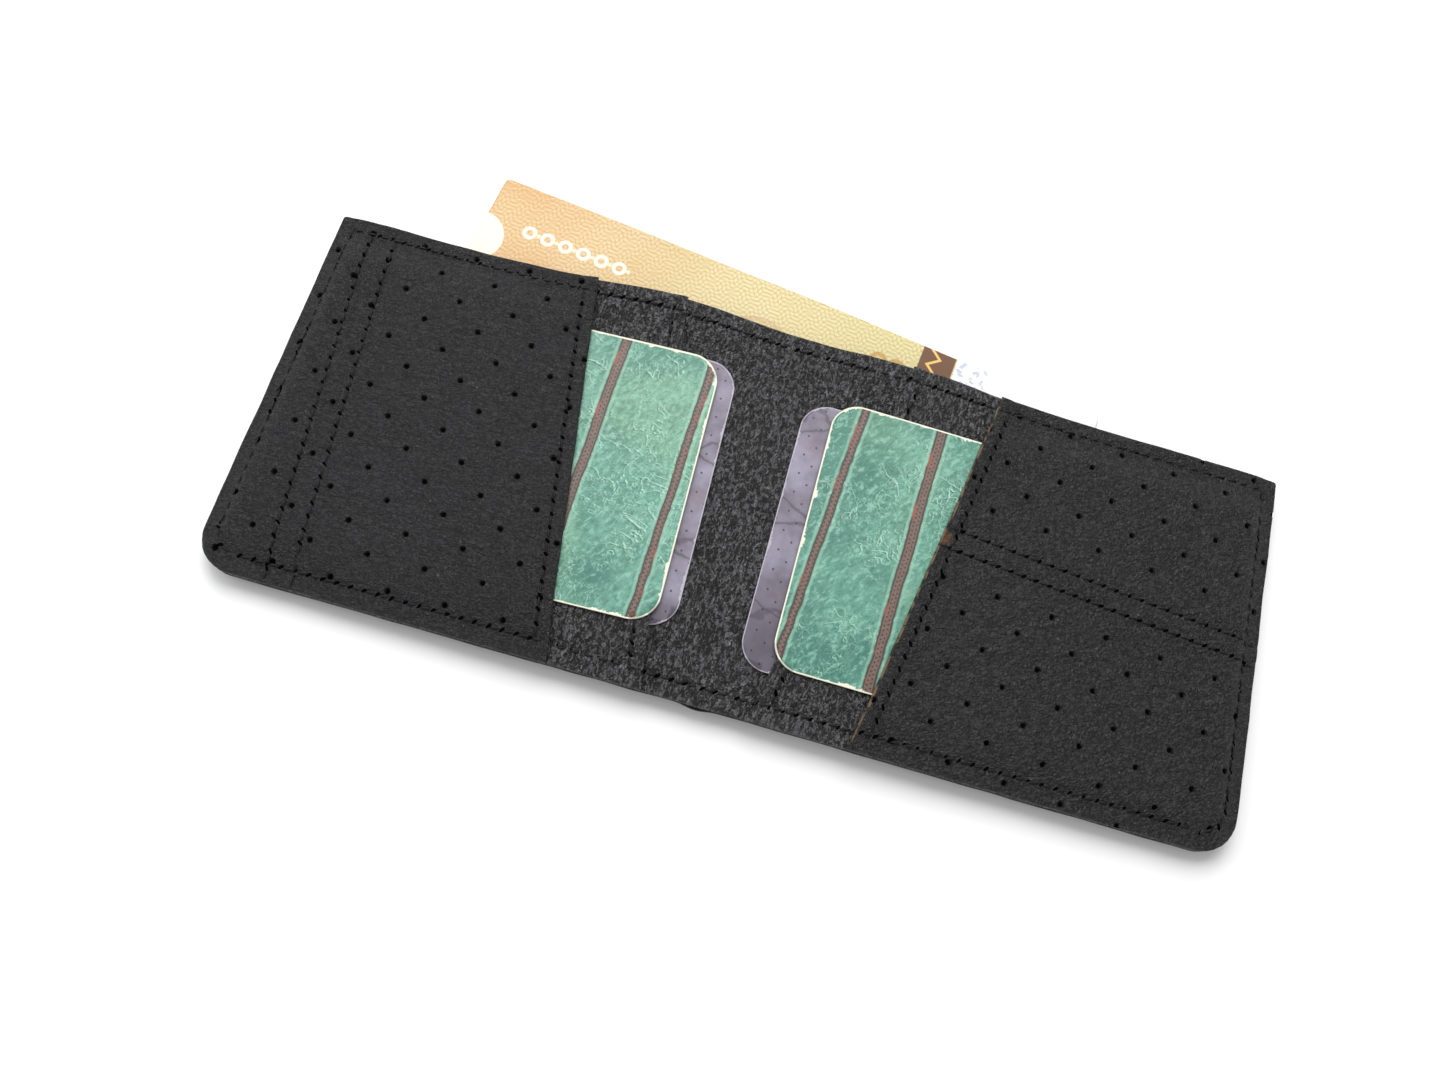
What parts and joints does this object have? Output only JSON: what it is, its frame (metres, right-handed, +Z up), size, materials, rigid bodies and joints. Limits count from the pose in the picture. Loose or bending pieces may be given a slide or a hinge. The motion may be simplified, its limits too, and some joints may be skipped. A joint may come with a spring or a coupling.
{
  "type": "bifold wallet",
  "caption": "Open leather bifold wallet with four slanted card pockets, cards in them, and a banknote in the bill compartment.",
  "frame": {"origin": "on the table, under the middle of the spine, at the middle of the wallet's height", "axes": "+X along the open wallet to its right end, +Y to the open edge of the bill compartment, +Z up"},
  "size_m": [0.2258, 0.1108, 0.0081],
  "materials": {
    "shell_leather": "satin",
    "panel_leather": "satin",
    "pocket_leather": "satin",
    "thread": "matte",
    "green_card": "satin",
    "lilac_card": "satin",
    "banknote": "matte"
  },
  "bodies": {
    "left_half": {"outer_shell_left": "shell_leather", "inner_panel_left": "panel_leather", "left_rear_pocket": "panel_leather", "left_front_pocket": "pocket_leather", "left_edge_stitching": "thread", "left_top_stitching": "thread", "left_rear_hem_stitching": "thread", "left_front_hem_stitching": "thread", "left_panel_stitching": "thread"},
    "right_half": {"outer_shell_right": "shell_leather", "inner_panel_right": "panel_leather", "right_rear_pocket": "panel_leather", "right_front_pocket": "pocket_leather", "right_edge_stitching": "thread", "right_top_stitching": "thread", "right_rear_hem_stitching": "thread", "right_front_hem_stitching": "thread", "right_panel_stitching": "thread"},
    "spine": {"outer_shell_spine": "shell_leather", "inner_panel_spine": "panel_leather", "spine_stitching": "thread"},
    "left_rear_card": {"left_rear_card": "lilac_card"},
    "left_front_card": {"left_front_card": "green_card"},
    "right_rear_card": {"right_rear_card": "lilac_card"},
    "right_front_card": {"right_front_card": "green_card"},
    "note_left": {"banknote_left": "banknote"},
    "note_middle": {"banknote_middle": "banknote"},
    "note_right": {"banknote_right": "banknote"}
  },
  "joints": [
    {"name": "fold", "type": "hinge", "parent": "left_half", "child": "right_half", "pos_m": [0, 0, 0.00996], "axis": [0, -1, 0], "range_deg": [0, 179.5]},
    {"name": "spine_fold", "type": "hinge", "parent": "left_half", "child": "spine", "pos_m": [0, 0, 0.00996], "axis": [0, -1, 0], "range_deg": [0, 89.75]},
    {"name": "left_front_card_slide", "type": "slide", "parent": "left_half", "child": "left_front_card", "axis": [0.9997, 0, 0.0262], "range_m": [0, 0.012]},
    {"name": "left_rear_card_slide", "type": "slide", "parent": "left_half", "child": "left_rear_card", "axis": [0.9997, 0, 0.0262], "range_m": [-0.003, 0.009]},
    {"name": "right_front_card_slide", "type": "slide", "parent": "right_half", "child": "right_front_card", "axis": [-0.9997, 0, 0.0262], "range_m": [-0.009, 0.005]},
    {"name": "right_rear_card_slide", "type": "slide", "parent": "right_half", "child": "right_rear_card", "axis": [-0.9997, 0, 0.0262], "range_m": [-0.014, 0]},
    {"name": "note_slide", "type": "slide", "parent": "left_half", "child": "note_left", "axis": [0, 1, 0], "range_m": [-0.015, 0.066]},
    {"name": "note_middle_fold", "type": "hinge", "parent": "note_left", "child": "note_middle", "pos_m": [0, 0, 0.00996], "axis": [0, -1, 0], "range_deg": [0, 89.75]},
    {"name": "note_right_fold", "type": "hinge", "parent": "note_left", "child": "note_right", "pos_m": [0, 0, 0.00996], "axis": [0, -1, 0], "range_deg": [0, 179.5]}
  ],
  "couplings": [
    {"joint": "spine_fold", "follows": "fold", "ratio": 0.5},
    {"joint": "note_middle_fold", "follows": "fold", "ratio": 0.5},
    {"joint": "note_right_fold", "follows": "fold", "ratio": 1}
  ]
}
